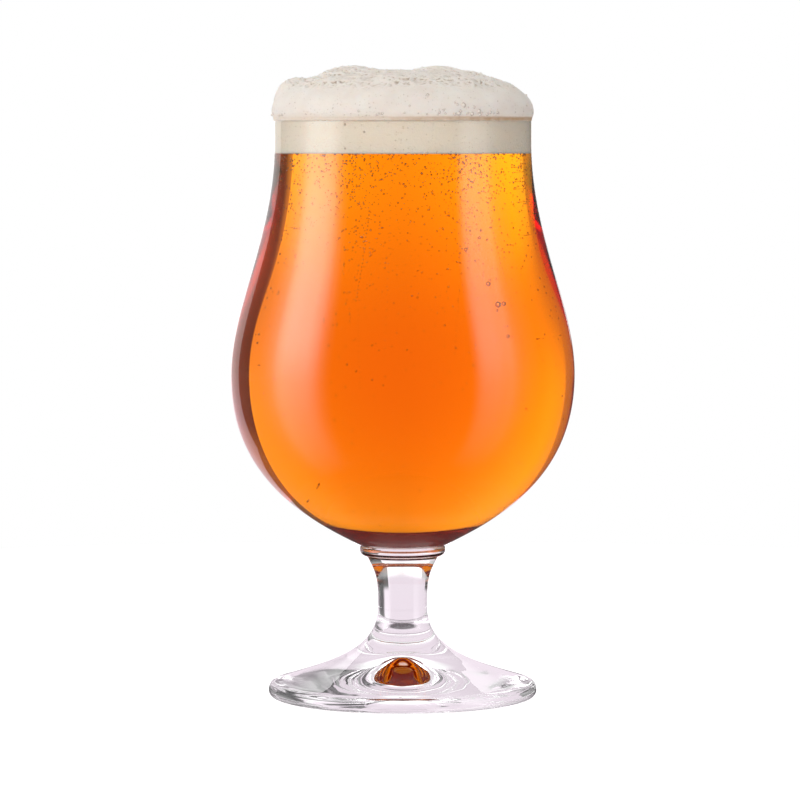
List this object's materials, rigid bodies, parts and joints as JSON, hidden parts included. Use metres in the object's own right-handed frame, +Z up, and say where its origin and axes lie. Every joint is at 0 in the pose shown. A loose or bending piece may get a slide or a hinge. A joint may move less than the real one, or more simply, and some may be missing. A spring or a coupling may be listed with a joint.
{
  "type": "tulip beer glass",
  "caption": "Stemmed tulip beer glass with a round foot, filled with amber beer under a domed head of foam.",
  "frame": {"origin": "centre of the foot, on the table", "axes": "+Z is up through the stem and the bowl; the glass is round, and +Y points away from the picture's camera"},
  "size_m": [0.0922, 0.0922, 0.169],
  "materials": {
    "clear_glass": "clear, polished",
    "amber_beer": "clear amber liquid with fine bubbles",
    "cream_foam": "fine wet foam"
  },
  "bodies": {
    "root": {"glass": "clear_glass", "beer": "amber_beer", "foam_head": "cream_foam"}
  },
  "joints": []
}
